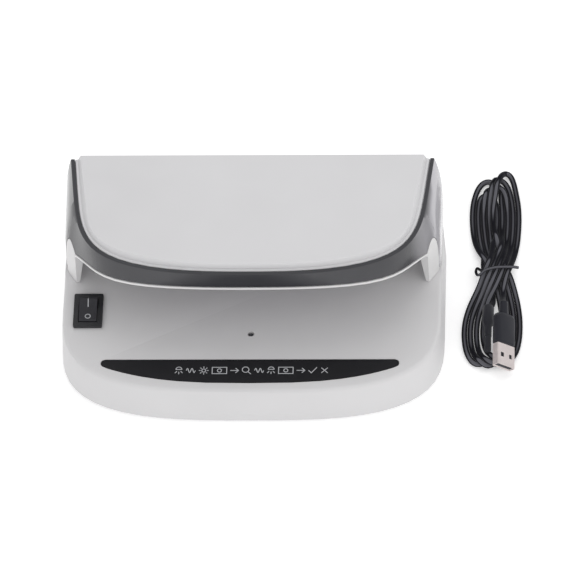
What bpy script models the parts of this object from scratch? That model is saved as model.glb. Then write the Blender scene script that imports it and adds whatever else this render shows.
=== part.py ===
"""Counterfeit banknote detector: a D-shaped base, a lamp hood over an inspection bay, and a supply cord.

The scene is in metres with +Z up, +X to the operator's right and +Y away from the operator. The origin
lies on the table under the middle of the detector's width. All sizes below are in millimetres and are
scaled once, where a mesh is made. Every piece hangs from the empty of the rigid body it moves with.
"""

import math

import bmesh
import bpy
import numpy as np
from mathutils import Matrix, Vector

MM = 0.001
GAP = 0.3  # space left between neighbouring pieces

# ---------------------------------------------------------------- driving dimensions, millimetres
FOOT_HEIGHT = 1.2  # the casing stands this far above the table

BASE_HALF_WIDTH = 98.6
BASE_FRONT = -60.2
BASE_REAR = 58.8
BASE_CURVE_START = -5.0  # the sides run straight behind this line
BASE_EXPONENT = 3.1  # superellipse exponent of the rounded front
BASE_CORNER = 7.0
BASE_WALL = 2.2
BASE_SIDE_LEAN = 0.055  # inward lean of the side walls per millimetre of height
BASE_FRONT_LEAN = 0.09
DECK_FRONT_HEIGHT = 22.0
DECK_SLOPE = 0.07  # the deck rises towards the rear
DECK_THICKNESS = 2.4
RIM_RADIUS = 2.2
RIM_RADIUS_UNDER_HOOD = 0.4

HOOD_HEIGHT = 71.0  # top of the black rim
HOOD_FOOT_LEVEL = 27.0  # height at which the foot outline holds
HOOD_BULGE = 3.2  # how late the wall curves inwards on its way up
HOOD_TOP_HALF_WIDTH = 93.5
HOOD_TOP_FRONT = -22.3
HOOD_TOP_REAR = 57.0
HOOD_FOOT_REAR = 58.0
HOOD_AXIS_Y = 30.0  # columns of the hood wall fan out from (0, HOOD_AXIS_Y)
BAND_THICKNESS = 2.1
BAND_RECESS = BAND_THICKNESS + 2 * GAP
WALL_THICKNESS = 2.0
WALL_TOP = 68.2
LIP_FRONT_HEIGHT = 60.5  # lower edge of the black band at the middle of the front
LIP_DROP = 10.5  # how much lower that edge is where it meets a leg
LIP_THICKNESS = 1.3
LIP_PROUD = 0.4
LEG_FRONT_Y = 10.6
LEG_REAR_Y = 19.4
LEG_EDGE = 1.7  # thickness of a leg's front edge; it reaches full thickness well inside the leg
ARCH_RISE = 5.0
ARCH_SHOULDER = 9.0
FOOT_FLANGE = 0.8  # white strip under the band behind a leg
LEDGE_TOP = 61.2
LEDGE_DEPTH = 2.3
LEDGE_THICKNESS = 1.3

COVER_TOP = 74.6
COVER_FLANGE = 70.8
CEILING_BOTTOM = 61.5
CEILING_TOP = 63.5
WINDOW_LENGTH = 128.0
WINDOW_WIDTH = 13.0
WINDOW_Y = 0.0
LAMP_COUNT = 6
LAMP_PITCH = 21.0
LAMP_BOARD_BOTTOM = 66.5
LAMP_BOARD_THICKNESS = 1.2

SWITCH_X = -84.0
SWITCH_Y = -8.0
BEZEL_WIDTH = 15.0
BEZEL_LENGTH = 21.0
BEZEL_HEIGHT = 2.0
ROCKER_REST_TILT = 12.0  # degrees; the front half is pressed at rest, which is off
ROCKER_PIVOT_Z = 0.2  # above the deck, in the switch's own tilted frame
ROCKER_RADIUS = 7.4
ROCKER_HALF_WIDTH = 4.6
LEVER_PIVOT_Z = -8.6
LEVER_REST_TILT = -8.0  # degrees; the rocker's plunger holds the rear end down when off

SENSOR_Y = -22.0
SENSOR_RADIUS = 1.35
SENSOR_HOLE_RADIUS = 1.7

PLATE_HALF_WIDTH = 76.0
PLATE_TOP_Y = -38.5
PLATE_BOTTOM_Y = -52.9
PLATE_BOW_HALF_WIDTH = 72.6  # the bowed lower edge runs this far from the middle
PLATE_CROWN = 9.3  # how far the lower edge rises there
PLATE_EXPONENT = 2.9
PLATE_TIP_RADIUS = 2.1

CORD_RADIUS = 1.5
HANK_X = 123.0
HANK_Y = 44.5
HANK_HALF_SPAN = 51.0  # from the crossing to the middle of a lobe
HANK_LOBE_RADIUS = 9.5
HANK_PITCH = 3.35
HANK_TURNS = 3
LAYER = 3.35  # height from one layer of cord to the next
USB_PLACE = (129.0, -17.3, 9.8)  # where the plug's metal sleeve leaves its grip
USB_PITCH = 18.0  # the plug leans on the hank with its tip down
USB_ROLL = 44.0
USB_GRIP_LENGTH = 16.5
USB_RELIEF_END = 24.0
USB_SLEEVE_LENGTH = 12.2
ROUND_PLUG = (120.8, 11.0, 6.9)  # where the cord enters the round plug's grip

WHITE = ("white_abs", (0.62, 0.61, 0.60), 0.45, 0.0)
GLOSS_BLACK = ("gloss_black_abs", (0.012, 0.012, 0.014), 0.12, 0.0)
NAME_BLACK = ("name_plate_black", (0.015, 0.015, 0.017), 0.3, 0.0)
SWITCH_BLACK = ("switch_nylon", (0.02, 0.02, 0.022), 0.42, 0.0)
CORD_BLACK = ("cord_pvc", (0.018, 0.018, 0.02), 0.38, 0.0)
BOARD_GREEN = ("board_green", (0.02, 0.12, 0.05), 0.4, 0.0)
VIOLET_WINDOW = ("lamp_window", (0.10, 0.06, 0.22), 0.2, 0.0)
LAMP_YELLOW = ("lamp_ceramic", (0.75, 0.68, 0.40), 0.35, 0.0)
CLEAR_RESIN = ("clear_resin", (0.55, 0.56, 0.58), 0.15, 0.0)
BRASS = ("brass", (0.70, 0.52, 0.22), 0.3, 1.0)
STEEL = ("screw_steel", (0.55, 0.55, 0.56), 0.3, 1.0)
NICKEL = ("plug_nickel", (0.62, 0.60, 0.58), 0.25, 1.0)
RUBBER = ("foot_rubber", (0.05, 0.05, 0.05), 0.85, 0.0)
WIRE_RED = ("wire_red", (0.45, 0.03, 0.03), 0.45, 0.0)
WIRE_BLACK = ("wire_black", (0.02, 0.02, 0.02), 0.45, 0.0)


# ---------------------------------------------------------------- scene and object helpers
def clear_scene():
    for item in list(bpy.data.objects):
        bpy.data.objects.remove(item, do_unlink=True)


def material_for(name, finish):
    """A Principled material of this finish, belonging to the named piece."""
    label, colour, roughness, metallic = finish
    made = bpy.data.materials.new(f"{name}_{label}")
    made.use_nodes = True
    shader = made.node_tree.nodes["Principled BSDF"]
    shader.inputs["Base Color"].default_value = (*colour, 1.0)
    shader.inputs["Roughness"].default_value = roughness
    shader.inputs["Metallic"].default_value = metallic
    made.diffuse_color = (*colour, 1.0)
    return made


def body_empty(name, place=(0.0, 0.0, 0.0), tilt=0.0):
    """An empty that stands for a rigid body, turned about X by tilt degrees."""
    empty = bpy.data.objects.new(name, None)
    empty.location = Vector(place) * MM
    empty.rotation_euler = (math.radians(tilt), 0.0, 0.0)
    empty.empty_display_size = 0.01
    bpy.context.scene.collection.objects.link(empty)
    return empty


def mesh_from(name, shape, sharp_angle=40.0):
    """A mesh, in metres, from (points, faces) in millimetres, with its faces turned outwards."""
    points, faces = shape
    mesh = bpy.data.meshes.new(name)
    mesh.from_pydata([tuple(Vector(p) * MM) for p in points], [], faces)
    work = bmesh.new()
    work.from_mesh(mesh)
    bmesh.ops.recalc_face_normals(work, faces=work.faces)
    work.to_mesh(mesh)
    work.free()
    mesh.shade_smooth()
    mesh.set_sharp_from_angle(angle=math.radians(sharp_angle))
    return mesh


def add_piece(name, shape, finish, parent, mesh=None):
    """One physical piece, which becomes one node."""
    piece = bpy.data.objects.new(name, mesh or mesh_from(name, shape))
    bpy.context.scene.collection.objects.link(piece)
    piece.parent = parent
    if not piece.data.materials:
        piece.data.materials.append(material_for(name, finish))
    return piece


def boolean(piece, shape, operation="DIFFERENCE"):
    """Cut a helper shape out of a piece, or join it on. The helper is never rendered."""
    order = len(piece.modifiers) + 1
    helper = bpy.data.objects.new(f"{piece.name}_helper_{order}", mesh_from("helper", shape))
    bpy.context.scene.collection.objects.link(helper)
    helper.parent = piece.parent
    helper.hide_render = True
    helper.display_type = "WIRE"
    modifier = piece.modifiers.new(f"{operation.lower()}_{order}", "BOOLEAN")
    modifier.operation = operation
    modifier.solver = "EXACT"
    modifier.object = helper


# ---------------------------------------------------------------- shape helpers: (points, faces)
def skin(sections, closed=False):
    """Quads between equal closed sections; the two end sections are capped unless the row is closed."""
    size = len(sections[0])
    points = [tuple(p) for section in sections for p in section]
    faces = []
    spans = len(sections) if closed else len(sections) - 1
    for i in range(spans):
        near = i * size
        far = (i + 1) % len(sections) * size
        for k in range(size):
            after = (k + 1) % size
            faces.append((near + k, near + after, far + after, far + k))
    if not closed:
        faces.append(tuple(reversed(range(size))))
        faces.append(tuple(range(len(points) - size, len(points))))
    return points, faces


def joined(*shapes):
    """Several shapes as one list of points and faces."""
    points = []
    faces = []
    for some_points, some_faces in shapes:
        start = len(points)
        points += some_points
        faces += [tuple(start + i for i in face) for face in some_faces]
    return points, faces


def moved(shape, offset=(0.0, 0.0, 0.0), matrix=None):
    """The shape after an optional matrix and then an offset."""
    points, faces = shape
    matrix = matrix or Matrix.Identity(3)
    return [tuple(matrix @ Vector(p) + Vector(offset)) for p in points], faces


def turned(profile, sides, centre=(0.0, 0.0, 0.0)):
    """A solid of revolution about Z. The profile is (radius, height) from one end to the other."""
    cx, cy, cz = centre
    sections = []
    for radius, height in profile:
        ring = []
        for k in range(sides):
            angle = math.tau * k / sides
            ring.append((cx + radius * math.cos(angle), cy + radius * math.sin(angle), cz + height))
        sections.append(ring)
    return skin(sections)


def block(low, high, chamfer=0.0):
    """A box between two corners, with its upright edges cut by the chamfer."""
    return prism(rectangle(low[0], low[1], high[0], high[1], chamfer), low[2], high[2])


def rectangle(x0, y0, x1, y1, chamfer=0.0):
    if not chamfer:
        return [(x0, y0), (x1, y0), (x1, y1), (x0, y1)]
    c = chamfer
    return [
        (x0 + c, y0), (x1 - c, y0), (x1, y0 + c), (x1, y1 - c),
        (x1 - c, y1), (x0 + c, y1), (x0, y1 - c), (x0, y0 + c),
    ]


def prism(outline, bottom, top):
    """An outline in XY pulled up from one height to another."""
    return skin([[(x, y, z) for x, y in outline] for z in (bottom, top)])


def tube(path, radius, sides):
    """A round cord along a path of points, capped at both ends."""
    path = [Vector(p) for p in path]
    headings = []
    for i in range(len(path)):
        ahead = path[min(i + 1, len(path) - 1)]
        behind = path[max(i - 1, 0)]
        headings.append((ahead - behind).normalized())
    across = headings[0].orthogonal().normalized()
    sections = []
    for point, heading in zip(path, headings):
        across = (across - heading * across.dot(heading)).normalized()
        other = heading.cross(across)
        ring = []
        for k in range(sides):
            angle = math.tau * k / sides
            ring.append(point + radius * (across * math.cos(angle) + other * math.sin(angle)))
        sections.append(ring)
    return skin(sections)


def bezier(start, handle_a, handle_b, end, steps):
    """Points along a cubic curve in any number of dimensions, without its start."""
    a, b, c, d = (np.array(p, float) for p in (start, handle_a, handle_b, end))
    points = []
    for i in range(1, steps + 1):
        t = i / steps
        s = 1 - t
        points.append(tuple(s**3 * a + 3 * s * s * t * b + 3 * s * t * t * c + t**3 * d))
    return points


# ---------------------------------------------------------------- the base
def deck_height(y):
    """Height of the sloping deck at this distance back."""
    return DECK_FRONT_HEIGHT + DECK_SLOPE * (y - BASE_FRONT)


def rim_radius(y):
    """Rounding of the deck's edge, which fades out where the hood stands on it."""
    share = min(max((y - 10.0) / 8.0, 0.0), 1.0)
    return RIM_RADIUS + share * (RIM_RADIUS_UNDER_HOOD - RIM_RADIUS)


def base_half_outline(side_inset, front_inset):
    """Half of the plan outline, from the middle of the front round to the middle of the rear."""
    half = BASE_HALF_WIDTH - side_inset
    depth = BASE_CURVE_START - BASE_FRONT - front_inset
    power = 2 / BASE_EXPONENT
    outline = []
    for degrees in (0, 2, 6, 12, 19, 26, 33, 40, 47, 54, 61, 68, 75, 81, 86, 90):
        angle = math.radians(degrees)
        x = half * math.sin(angle) ** power
        y = BASE_CURVE_START - depth * max(math.cos(angle), 0.0) ** power
        outline.append((x, y))
    outline += [(half, 10.0), (half, 14.0), (half, 18.0), (half, 35.0)]
    radius = BASE_CORNER - side_inset
    rear = BASE_REAR - side_inset
    for degrees in (0, 30, 60, 90):
        angle = math.radians(degrees)
        x = half - radius + radius * math.cos(angle)
        outline.append((x, rear - radius + radius * math.sin(angle)))
    outline.append((0.0, rear))
    return outline


def base_outline(side_inset, front_inset):
    """The whole closed outline, which starts and ends on the centre line."""
    right = base_half_outline(side_inset, front_inset)
    return right + [(-x, y) for x, y in reversed(right[1:-1])]


def base_wall_section(inset, drop, share=None):
    """The outline on the leaning wall, drop below the deck's edge or at a share of the wall's height."""
    section = []
    for x, y in base_outline(inset, inset):
        height = deck_height(y) - drop
        if share is not None:
            height = FOOT_HEIGHT + share * (height - FOOT_HEIGHT)
        rise = height - FOOT_HEIGHT
        leaned_x = x * (1 - BASE_SIDE_LEAN * rise / BASE_HALF_WIDTH)
        front_share = min(max((BASE_CURVE_START - y) / 55.0, 0.0), 1.0)
        leaned_y = y + BASE_FRONT_LEAN * rise * front_share
        section.append((leaned_x, leaned_y, height))
    return section


def rim_section(degrees):
    """The outline part of the way round the deck's rounded edge."""
    angle = math.radians(degrees)
    plan = base_wall_section(0.0, RIM_RADIUS)
    section = []
    for x, y, _ in plan:
        radius = rim_radius(y)
        inward = radius * (1 - math.cos(angle))
        away = Vector((x, min(y - BASE_CURVE_START, 0.0)))
        direction = away.normalized() if away.length else Vector((0.0, 1.0))
        if y > BASE_REAR - BASE_CORNER:
            direction = Vector((direction.x, 0.6)).normalized()
        moved_x = x - direction.x * inward
        moved_y = y - direction.y * inward
        section.append((moved_x, moved_y, deck_height(moved_y) - radius * (1 - math.sin(angle))))
    return section


def base_shape():
    sections = [
        base_wall_section(BASE_WALL, DECK_THICKNESS + GAP),
        base_wall_section(BASE_WALL, 0.0, share=0.0),
        base_wall_section(0.0, 0.0, share=0.0),
        base_wall_section(0.0, RIM_RADIUS),
        rim_section(35),
        rim_section(65),
        rim_section(90),
    ]
    return skin(sections)


CASE_SCREWS = [(-60.0, -38.0), (60.0, -38.0), (-60.0, 46.0), (60.0, 46.0)]
HOOD_SCREWS = [(-90.4, 29.0), (90.4, 29.0), (-91.2, 50.0), (91.2, 50.0)]
BOARD_SCREWS = [(-20.0, 2.0), (20.0, 2.0)]
FEET = [(-78.0, -30.0), (78.0, -30.0), (-82.0, 44.0), (82.0, 44.0)]
FOOT_RADIUS = 5.0
SCREW_SIDES = 10
COVER_THICKNESS = 2.2
COVER_UPPER = FOOT_HEIGHT + COVER_THICKNESS
LAMP_DUCT = (90.0, 38.0)  # where the lamp's wire climbs inside the hood
SOCKET_X = -40.0
SOCKET_Z = 13.5


def plate_outline(grow=0.0):
    """The name plate: a straight rear edge, a bowed front edge and rounded tips."""
    tip = PLATE_TIP_RADIUS + grow
    centre_x = PLATE_HALF_WIDTH - PLATE_TIP_RADIUS
    centre_y = PLATE_TOP_Y - PLATE_TIP_RADIUS
    right = []
    for share in (0.0, 0.3, 0.5, 0.64, 0.75, 0.83, 0.9, 0.96, 1.0):
        x = share * PLATE_BOW_HALF_WIDTH
        y = PLATE_BOTTOM_Y + PLATE_CROWN * share**PLATE_EXPONENT
        right.append((x, y - grow))
    for degrees in (-56, -34, -10, 20, 50, 90):
        angle = math.radians(degrees)
        right.append((centre_x + tip * math.cos(angle), centre_y + tip * math.sin(angle)))
    return right + [(-x, y) for x, y in reversed(right[1:])]


def on_deck(outline, bottom, top):
    """A prism whose ends lie parallel to the deck, at heights measured from it."""
    return skin([[(x, y, deck_height(y) + z) for x, y in outline] for z in (bottom, top)])


def build_base(housing):
    base = add_piece("base_top_shell", base_shape(), WHITE, housing)
    bosses = []
    for x, y in CASE_SCREWS:
        top = deck_height(y) - 1.2
        bosses.append(turned([(3.4, COVER_UPPER + GAP), (3.6, top)], SCREW_SIDES, (x, y, 0.0)))
    for x, y in BOARD_SCREWS:
        bosses.append(turned([(2.6, 14.0), (2.8, deck_height(y) - 1.2)], SCREW_SIDES, (x, y, 0.0)))
    boolean(base, joined(*bosses), "UNION")

    cutters = []
    for x, y in CASE_SCREWS:
        cutters.append(turned([(1.25, -1.0), (1.25, 13.0)], SCREW_SIDES, (x, y, 0.0)))
    for x, y in BOARD_SCREWS:
        cutters.append(turned([(1.0, 13.0), (1.0, 20.0)], SCREW_SIDES, (x, y, 0.0)))
    for x, y in HOOD_SCREWS:
        cutters.append(turned([(1.5, 18.0), (1.5, 36.0)], SCREW_SIDES, (x, y, 0.0)))
    cutters.append(turned([(SENSOR_HOLE_RADIUS, 12.0), (SENSOR_HOLE_RADIUS, 36.0)], 24, (0.0, SENSOR_Y, 0.0)))
    cutters.append(on_deck(plate_outline(GAP), -1.0, 3.0))
    tilt = Matrix.Rotation(math.atan(DECK_SLOPE), 3, "X")
    opening = block((-6.95, -9.75, -6.0), (6.95, 9.75, 6.0))
    cutters.append(moved(opening, (SWITCH_X, SWITCH_Y, deck_height(SWITCH_Y)), tilt))
    jack = turned([(4.1, -8.0), (4.1, 8.0)], 20)
    cutters.append(moved(jack, (SOCKET_X, BASE_REAR, SOCKET_Z), Matrix.Rotation(math.radians(90), 3, "X")))
    cutters.append(turned([(1.8, 18.0), (1.8, 36.0)], SCREW_SIDES, (*LAMP_DUCT, 0.0)))
    boolean(base, joined(*cutters))


def build_bottom_cover(housing):
    edge = BASE_WALL + GAP
    sections = []
    for inset, height in ((edge + 0.4, FOOT_HEIGHT), (edge, FOOT_HEIGHT + 0.4), (edge, COVER_UPPER)):
        sections.append([(x, y, height) for x, y in base_outline(inset, inset)])
    cover = add_piece("bottom_cover", skin(sections), WHITE, housing)
    cutters = []
    for x, y in CASE_SCREWS:
        cutters.append(turned([(3.3, 0.0), (3.3, 2.2), (1.6, 2.25), (1.6, 5.0)], SCREW_SIDES, (x, y, 0.0)))
    for x, y in FEET:
        cutters.append(turned([(FOOT_RADIUS + GAP, 0.0), (FOOT_RADIUS + GAP, 2.1)], 20, (x, y, 0.0)))
    boolean(cover, joined(*cutters))

    foot_mesh = mesh_from("rubber_foot", turned([(4.6, 0.0), (5.0, 0.4), (5.0, 1.8)], 20))
    for number, (x, y) in enumerate(FEET, 1):
        foot = add_piece(f"rubber_foot_{number}", None, RUBBER, housing, foot_mesh)
        foot.location = Vector((x, y, 0.0)) * MM


def screw_mesh(name, head_radius, head_height, shank_radius, length):
    """A pan-head screw standing on its head: the head's top face is at z = 0 and the shank points up."""
    profile = [
        (head_radius * 0.30, 0.45),
        (head_radius * 0.36, 0.0),
        (head_radius * 0.8, 0.0),
        (head_radius, head_height * 0.45),
        (head_radius, head_height),
        (shank_radius, head_height + 0.01),
        (shank_radius, length - 0.8),
        (shank_radius * 0.4, length),
    ]
    return mesh_from(name, turned(profile, SCREW_SIDES))


def build_screws(housing):
    """Each group shares one mesh. Every screw points up, with the underside of its head at its height."""
    groups = (
        ("case_screw", CASE_SCREWS, (2.8, 0.75, 1.0, 9.0), [1.3] * 4),
        ("hood_screw", HOOD_SCREWS, (2.4, 1.4, 1.1, 12.0), [23.6, 23.6, 25.0, 25.0]),
        ("ceiling_screw", CEILING_SCREWS, (2.4, 1.0, 1.0, 7.5), [61.3] * 4),
        ("board_screw", BOARD_SCREWS, (2.2, 1.2, 0.8, 6.0), [10.7] * 2),
    )
    for name, places, size, heights in groups:
        mesh = screw_mesh(name, *size)
        for number, ((x, y), z) in enumerate(zip(places, heights), 1):
            screw = add_piece(f"{name}_{number}", None, STEEL, housing, mesh)
            screw.location = Vector((x, y, z)) * MM


# ---------------------------------------------------------------- the hood
def hood_top_curve():
    """Right half of the hood's outline at the black rim, from the front's middle to the rear."""
    depth = HOOD_TOP_REAR - HOOD_TOP_FRONT
    curve = []
    for angle in np.radians(np.linspace(0.0, 90.0, 500)):
        back = max(math.cos(angle), 0.0) ** (1 / 3)
        width = HOOD_TOP_HALF_WIDTH * (1 - 0.09 * back) * (1 - back**6) ** (1 / 2.6)
        curve.append((width, HOOD_TOP_REAR - depth * back))
    return np.array(curve)


def hood_foot_curve():
    """Right half of the outline at the foot: a bowed front, a slanting leg face and a straight side."""
    curve = [(0.0, -21.2)]
    curve += bezier(curve[-1], (51.0, -21.2), (69.4, -20.1), (80.9, -3.7), 60)
    curve += bezier(curve[-1], (85.6, 3.0), (90.1, 9.6), (94.4, 16.2), 40)
    curve += bezier(curve[-1], (96.0, 18.7), (96.8, 21.5), (96.9, 26.0), 20)
    curve += bezier(curve[-1], (97.0, 36.0), (97.5, 47.0), (97.6, HOOD_FOOT_REAR), 20)
    return np.array(curve)


TOP_CURVE = hood_top_curve()
FOOT_CURVE = hood_foot_curve()


def fan_angle(points):
    """Angle of plan points about the hood's axis, in degrees from straight ahead."""
    return np.degrees(np.arctan2(points[:, 0], HOOD_AXIS_Y - points[:, 1]))


def crossing(curve, degrees):
    """The curve's point and its outward direction at a fan angle."""
    angles = fan_angle(curve)
    point = Vector([float(np.interp(degrees, angles, curve[:, k])) for k in (0, 1)])
    ahead = [float(np.interp(degrees + 1.0, angles, curve[:, k])) for k in (0, 1)]
    behind = [float(np.interp(max(degrees - 1.0, 0.0), angles, curve[:, k])) for k in (0, 1)]
    along = Vector(ahead) - Vector(behind)
    return point, Vector((along.y, -along.x)).normalized()


def angle_at_y(y):
    """Fan angle of the foot curve at this distance back, on the leg's stretch of it."""
    leg = FOOT_CURVE[FOOT_CURVE[:, 1] > -10.0]
    return float(np.interp(y, leg[:, 1], fan_angle(leg)))


LEG_FRONT = angle_at_y(LEG_FRONT_Y)
LEG_REAR = angle_at_y(LEG_REAR_Y)
MM_PER_DEGREE = 1.69  # length of a degree of fan angle on the leg's face
REAR_DRAFT = 0.02
GAP_ANGLE = GAP / MM_PER_DEGREE
JUMP = 0.03  # degrees between two columns that carry a step


class Column:
    """One upright line of the hood wall: where it stands at its foot and its rim, and which way is out."""

    def __init__(self, foot, top, outward, angle, behind=False):
        self.foot = foot
        self.top = top
        self.outward = outward
        self.angle = angle
        self.behind = behind
        self.straight = outward.y == 0.0

    def at(self, height, inset):
        share = min(max((height - HOOD_FOOT_LEVEL) / (HOOD_HEIGHT - HOOD_FOOT_LEVEL), 0.0), 1.05)
        plan = self.foot.lerp(self.top, share**HOOD_BULGE)
        plan.x -= self.outward.x * inset
        plan.y -= self.outward.y * (self.rear_inset(inset) if self.behind else inset)
        if self.straight:
            # Deep insets draw together along the side, to stay ahead of the inset rear wall.
            excess = max(inset - BAND_THICKNESS - GAP, 0.0)
            span = HOOD_FOOT_REAR - HOOD_AXIS_Y
            plan.y = HOOD_AXIS_Y + (plan.y - HOOD_AXIS_Y) * (span - excess) / span
        return (plan.x, plan.y, height)

    def rear_inset(self, inset):
        """The rear wall stays level with the band's ends, with a slight draft, past the band's recess."""
        return max(inset - BAND_RECESS, 0.0) + REAR_DRAFT * inset

    def deck(self):
        return deck_height(self.foot.y)

    def mirrored(self):
        flip = [Vector((-v.x, v.y)) for v in (self.foot, self.top, self.outward)]
        return Column(*flip, self.angle, self.behind)


def side_column(degrees):
    foot, foot_out = crossing(FOOT_CURVE, degrees)
    top, top_out = crossing(TOP_CURVE, degrees)
    outward = (foot_out + top_out).normalized()
    if degrees == 0:
        outward = Vector((0.0, -1.0))
    return Column(foot, top, outward, degrees)


def straight_column(y):
    """A column on the straight side, given how far back its foot stands."""
    share = (y - HOOD_AXIS_Y) / (HOOD_FOOT_REAR - HOOD_AXIS_Y)
    top_y = HOOD_AXIS_Y + share * (HOOD_TOP_REAR - HOOD_AXIS_Y)
    foot_x = float(np.interp(y, FOOT_CURVE[:, 1], FOOT_CURVE[:, 0]))
    top_x = float(np.interp(top_y, TOP_CURVE[:, 1], TOP_CURVE[:, 0]))
    foot = Vector((foot_x, y))
    return Column(foot, Vector((top_x, top_y)), Vector((1.0, 0.0)), 90.0 + y)


def hood_half_columns():
    """Columns from the middle of the front to the right rear corner."""
    angles = [0, 8, 16, 24, 32, 39, 46, 52, 57, 61, 64.5, 67.5, 70.5, 73, 75]
    angles += [LEG_FRONT - back for back in (1.5, 0.95, 0.5, 0.15)]
    angles += [LEG_FRONT, LEG_FRONT + JUMP]
    span = LEG_REAR - LEG_FRONT
    angles += [LEG_FRONT + share * span for share in (0.14, 0.28, 0.42, 0.54, 0.64, 0.72, 0.8, 0.87, 0.93)]
    shell_rear = LEG_REAR - GAP_ANGLE
    angles += [shell_rear - JUMP, shell_rear, LEG_REAR - JUMP, LEG_REAR]
    angles += [LEG_REAR + 1.2, LEG_REAR + 3.0, 89.0]
    columns = [side_column(angle) for angle in angles]
    columns += [straight_column(y) for y in (37.0, 45.0, 52.0)]
    columns.append(rear_column(1.0, 1.0))
    return columns


def rear_column(share, outward_x):
    """A column of the rear wall, at a share of its half width; the corner column leans out both ways."""
    foot = Vector((FOOT_CURVE[-1][0] * share, HOOD_FOOT_REAR))
    top = Vector((HOOD_TOP_HALF_WIDTH * share, HOOD_TOP_REAR))
    return Column(foot, top, Vector((outward_x, 1.0)), 180.0, behind=True)


RIGHT_COLUMNS = hood_half_columns()
LEFT_COLUMNS = [column.mirrored() for column in reversed(RIGHT_COLUMNS[1:])]
ALL_COLUMNS = RIGHT_COLUMNS + [rear_column(0.5, 0.0), rear_column(-0.5, 0.0)] + LEFT_COLUMNS


def band_edge(column, gap=0.0):
    """Lower edge of the black band on this column; a gap shrinks the white leg below it."""
    angle = column.angle
    rear = LEG_REAR - gap / MM_PER_DEGREE
    peak = LEG_FRONT + 0.62 * (LEG_REAR - LEG_FRONT)
    lip = LIP_FRONT_HEIGHT - LIP_DROP
    if angle <= LEG_FRONT:
        return LIP_FRONT_HEIGHT - LIP_DROP * (angle / LEG_FRONT) ** 5.9 - gap
    if angle <= peak:
        rise = math.sin(math.radians(90.0) * (angle - LEG_FRONT) / (peak - LEG_FRONT))
        return lip + ARCH_RISE * rise - gap
    if angle < rear - JUMP / 2:
        over = (angle - peak) / (rear - peak)
        return lip + ARCH_RISE - ARCH_SHOULDER * (1 - math.sqrt(max(1 - over * over, 0.0))) - gap
    return column.deck() + GAP + FOOT_FLANGE + GAP - gap


def shell_foot(column):
    """Lower edge of the white shell: the lip in front, and the deck from the leg backwards."""
    if column.angle > LEG_FRONT:
        return column.deck() + GAP
    edge = band_edge(column, GAP) - LIP_THICKNESS
    fillet = 2.6
    reach = (LEG_FRONT - column.angle) * MM_PER_DEGREE
    if reach < fillet:
        edge -= fillet - math.sqrt(fillet**2 - (fillet - reach) ** 2)
    return edge


def levels(low, high, shares):
    return [low + share * (high - low) for share in shares]


def leg_front_share(column):
    """1 at the front edge of a leg, 0 in front of it, and falling to 0 a little past its middle."""
    if column.angle <= LEG_FRONT:
        return 0.0
    return max(1.0 - (column.angle - LEG_FRONT) / (0.6 * (LEG_REAR - LEG_FRONT)), 0.0)


def shell_profile(column):
    """Cross-section of the white shell on one column, as a closed ring of points."""
    foot = shell_foot(column)
    step = band_edge(column, GAP)
    proud = LIP_PROUD if column.angle < LEG_FRONT else 0.0
    inner = BAND_RECESS + WALL_THICKNESS
    ring = [column.at(z, -proud) for z in levels(foot, step, (0.0, 0.42, 0.7, 0.88, 1.0))]
    ring += [column.at(z, BAND_RECESS) for z in levels(step, WALL_TOP, (0.0, 0.45, 0.8, 1.0))]
    ring += [column.at(WALL_TOP, inner), column.at(LEDGE_TOP, inner)]
    ring.append(column.at(LEDGE_TOP, inner + LEDGE_DEPTH))
    ring.append(column.at(LEDGE_TOP - LEDGE_THICKNESS, inner + LEDGE_DEPTH))
    below = LEDGE_TOP - LEDGE_THICKNESS - 1.0
    share = min(max(below - foot, 0.0), 1.0)
    under = foot + share * (below - foot)
    ring.append(column.at(under, inner + LEDGE_DEPTH * 0.75 * (1 - share)))
    low_inner = inner - (inner - LEG_EDGE) * leg_front_share(column)
    ring.append(column.at((under + foot) / 2, low_inner + LEDGE_DEPTH * 0.4 * (1 - share)))
    ring.append(column.at(foot, low_inner))
    return ring


def band_profile(column):
    """Cross-section of the black band, with its top edges eased."""
    low = band_edge(column)
    heights = levels(low, HOOD_HEIGHT - 0.4, (0.0, 0.42, 0.7, 0.88, 1.0))
    ring = [column.at(z, 0.0) for z in heights]
    ring.append(column.at(HOOD_HEIGHT, 0.35))
    ring.append(column.at(HOOD_HEIGHT, BAND_THICKNESS - 0.3))
    ring.append(column.at(HOOD_HEIGHT - 0.3, BAND_THICKNESS))
    ring += [column.at(z, BAND_THICKNESS) for z in reversed(heights[:4])]
    return ring


def hood_section(height, inset, rear_inset=None):
    """The whole closed outline of the hood at a height, moved inwards, and by its own amount at the rear."""
    points = []
    for column in COVER_COLUMNS:
        x, y, z = column.at(height, inset)
        if rear_inset is not None and column.behind:
            y = column.at(height, 0.0)[1] - rear_inset
        points.append((x, y, z))
    return points


def thinned(columns):
    """Every column but the paired ones that only carry steps in the wall."""
    kept = [columns[0]]
    for column in columns[1:]:
        if (column.foot - kept[-1].foot).length > 1.0:
            kept.append(column)
    return kept


COVER_COLUMNS = thinned(ALL_COLUMNS)
CEILING_SCREWS = [(-66.0, 14.0), (66.0, 14.0), (-66.0, 44.0), (66.0, 44.0)]
LAMP_BOARD_POSTS = [(-58.0, WINDOW_Y + 9.0), (58.0, WINDOW_Y + 9.0)]


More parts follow.
